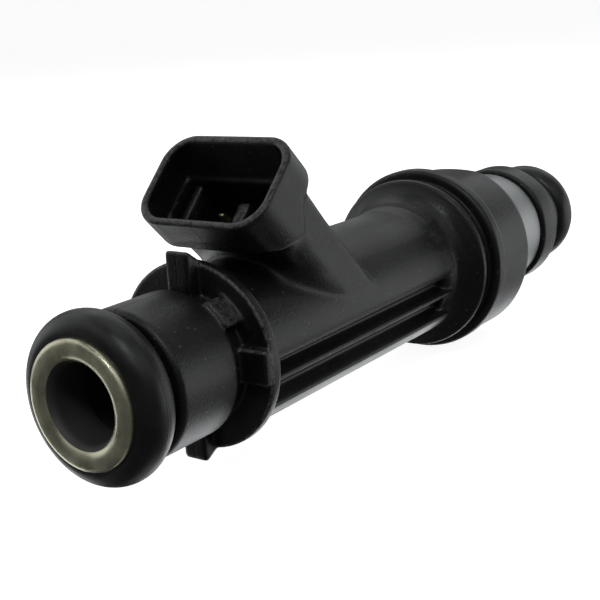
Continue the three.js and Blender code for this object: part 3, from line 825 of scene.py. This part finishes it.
STUDIO_TINT = (0.97, 0.985, 1.0)
MIDDLE = (44, 0, 0)
LIGHT_DISTANCE = 520
SOFTBOX_SIZE = 300
SOFTBOXES = (  # name, bearing from +X and height in degrees, radiance
    ("table_far", 90, -30, 1.8),
    ("table_near", -45, -30, 0.3),
    ("table_middle", 15, -43, 1.5),
    ("table_end", 0, -30, 0.6),
    ("below", 0, -75, 0.5),
    ("end_middle", 0, 8, 0.7),
    ("end_right", -30, -2, 0.75),
    ("side_near", -60, -2, 1.1),
    ("end_left", 45, 8, 0.35),
    ("side_far", 90, 8, 0.6),
    ("side_left", 112, 8, 0.8),
    ("upper_end", 0, 42, 0.7),
    ("upper_far", 40, 42, 0.8),
    ("upper_side", 80, 42, 0.7),
    ("upper_left", 120, 42, 0.6),
    ("upper_back", 165, 40, 0.4),
    ("upper_near", -80, 42, 0.5),
    ("upper_camera", -120, 42, 0.5),
    ("overhead", 0, 85, 0.7),
)

CAMERA_PLACE = (-55.724, -62.549, 28.96)
CAMERA_HEADING = 36.063  # degrees from +X towards +Y
CAMERA_PITCH = -14.711
CAMERA_ROLL = -3.637
SENSOR_WIDTH = 36
LENS = 67.17


def pale_floor():
    """A wide plain floor that curves up far away, so that it fills the background too."""
    vertices = []
    for radius, rise in FLOOR_PROFILE:
        for k in range(FLOOR_SIDES):
            turn = 2 * math.pi * k / FLOOR_SIDES
            vertices.append((radius * math.cos(turn) * MM, radius * math.sin(turn) * MM,
                             (FLOOR_Z + rise) * MM))
    faces = [tuple(range(FLOOR_SIDES))]
    for ring in range(len(FLOOR_PROFILE) - 1):
        base = ring * FLOOR_SIDES
        for k in range(FLOOR_SIDES):
            after = (k + 1) % FLOOR_SIDES
            above = base + FLOOR_SIDES
            faces.append((base + k, above + k, above + after, base + after))
    floor = make_object("floor", vertices, faces)
    n = Nodes("pale_floor")
    n.shader.inputs["Base Color"].default_value = (0.8, 0.8, 0.8, 1)
    n.shader.inputs["Roughness"].default_value = 0.9
    n.shader.inputs["Specular IOR Level"].default_value = 0.1
    n.shader.inputs["Emission Color"].default_value = (1, 1, 1, 1)
    n.shader.inputs["Emission Strength"].default_value = 0.9
    floor.data.materials.append(n.material)
    floor.visible_glossy = False
    floor.visible_diffuse = False
    floor.visible_shadow = False


def softbox(name, bearing, height, radiance, size=SOFTBOX_SIZE):
    """A square soft light that faces the object from a bearing and a height in degrees."""
    light = bpy.data.lights.new(name, "AREA")
    light.shape = "SQUARE"
    light.size = size * MM
    light.color = STUDIO_TINT
    light.energy = radiance * math.pi * light.size ** 2
    lamp = bpy.data.objects.new(name, light)
    bpy.context.scene.collection.objects.link(lamp)
    turn, rise = math.radians(bearing), math.radians(height)
    level = math.cos(rise)
    outward = Vector((math.cos(turn) * level, math.sin(turn) * level, math.sin(rise)))
    lamp.location = (Vector(MIDDLE) + outward * LIGHT_DISTANCE) * MM
    lamp.rotation_euler = (-outward).to_track_quat("-Z", "Y").to_euler()
    lamp.visible_camera = False


def make_world():
    world = bpy.data.worlds.new("studio")
    bpy.context.scene.world = world
    world.use_nodes = True
    background = world.node_tree.nodes["Background"]
    background.inputs["Color"].default_value = (*STUDIO_TINT, 1)
    background.inputs["Strength"].default_value = 0.07


def make_camera():
    data = bpy.data.cameras.new("camera")
    data.sensor_width = SENSOR_WIDTH
    data.lens = LENS
    data.clip_start = 0.001
    camera = bpy.data.objects.new("camera", data)
    bpy.context.scene.collection.objects.link(camera)
    heading = Matrix.Rotation(math.radians(CAMERA_HEADING - 90), 4, "Z")
    pitch = Matrix.Rotation(math.radians(90 + CAMERA_PITCH), 4, "X")
    roll = Matrix.Rotation(math.radians(CAMERA_ROLL), 4, "Z")
    camera.matrix_world = Matrix.Translation(Vector(CAMERA_PLACE) * MM) @ heading @ pitch @ roll
    bpy.context.scene.camera = camera


pale_floor()
for name, bearing, height, radiance in SOFTBOXES:
    softbox(name, bearing, height, radiance)
softbox("above_camera", -150, 52, 9.0, size=110)
make_world()
make_camera()
bpy.context.scene.view_settings.view_transform = "Standard"
